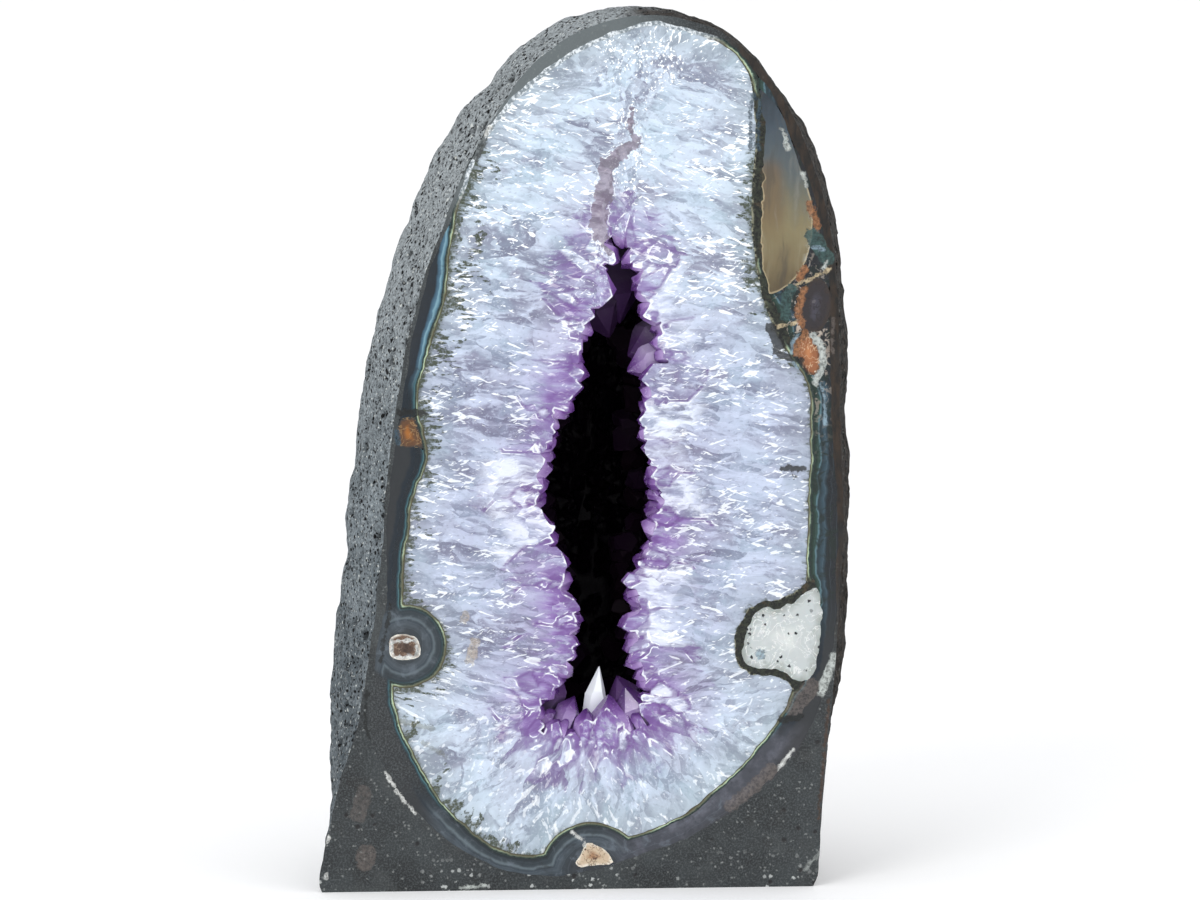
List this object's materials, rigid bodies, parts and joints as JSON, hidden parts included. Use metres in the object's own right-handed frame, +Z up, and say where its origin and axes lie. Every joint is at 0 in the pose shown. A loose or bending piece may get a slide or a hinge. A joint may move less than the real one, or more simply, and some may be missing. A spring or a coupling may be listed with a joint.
{
  "type": "amethyst geode",
  "caption": "Standing geode sawn flat underneath and polished across the front: basalt boulder, agate rind, milky quartz crust and an open hollow lined with amethyst points.",
  "frame": {"origin": "on the sawn base, under the middle of the bounding box", "axes": "+Z up from the base, -Y out of the polished face, +X to the right along the face"},
  "size_m": [0.198, 0.13, 0.3186],
  "materials": {
    "basalt": "rough outside, polished front",
    "agate": "polished front, blue-grey bands",
    "celadonite": "polished front, dark green with a cream edge",
    "quartz": "polished front, milky to purple; glassy points in the hollow",
    "banded_agate": "polished front, blue-grey to ochre bands",
    "ironstone": "polished front, cracked",
    "carnelian": "polished front",
    "calcite": "polished front, white with black specks",
    "amber_agate": "polished front",
    "brown_calcite": "polished front, white rim",
    "cream_calcite": "polished front"
  },
  "bodies": {
    "root": {"basalt_matrix": "basalt", "agate_rind": "agate", "celadonite_skin": "celadonite", "quartz_amethyst_crust": "quartz", "banded_agate_lens": "banded_agate", "ironstone_nodule": "ironstone", "carnelian_seam": "carnelian", "calcite_pocket": "calcite", "amber_agate_nodule": "amber_agate", "calcite_core": "brown_calcite", "base_calcite_cap": "cream_calcite"}
  },
  "joints": []
}
